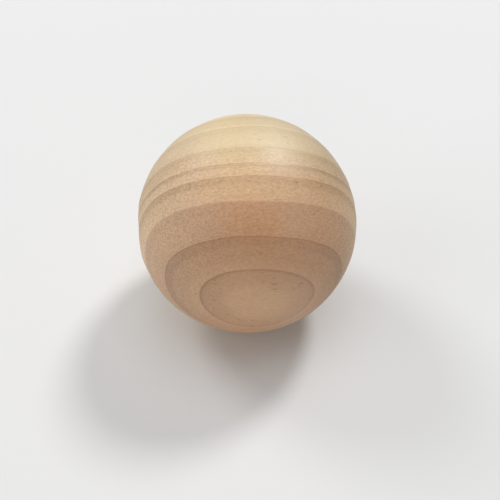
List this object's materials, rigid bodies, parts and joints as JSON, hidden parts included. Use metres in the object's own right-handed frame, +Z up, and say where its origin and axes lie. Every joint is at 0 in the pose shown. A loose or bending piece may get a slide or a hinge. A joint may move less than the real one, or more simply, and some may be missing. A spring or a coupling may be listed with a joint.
{
  "type": "wooden ball",
  "caption": "Turned solid wood ball with a sanded satin surface, strong growth rings and a small flat at one end of the grain, for craft, bench and desk use.",
  "frame": {"origin": "centre of the round", "axes": "+Z up as the ball lies on a table, X along the lathe axis with the end flat facing -X, -Y towards the side where the growth rings close into ovals"},
  "size_m": [0.0494, 0.05, 0.05],
  "materials": {
    "sanded_wood": "satin"
  },
  "bodies": {
    "root": {"ball": "sanded_wood"}
  },
  "joints": []
}
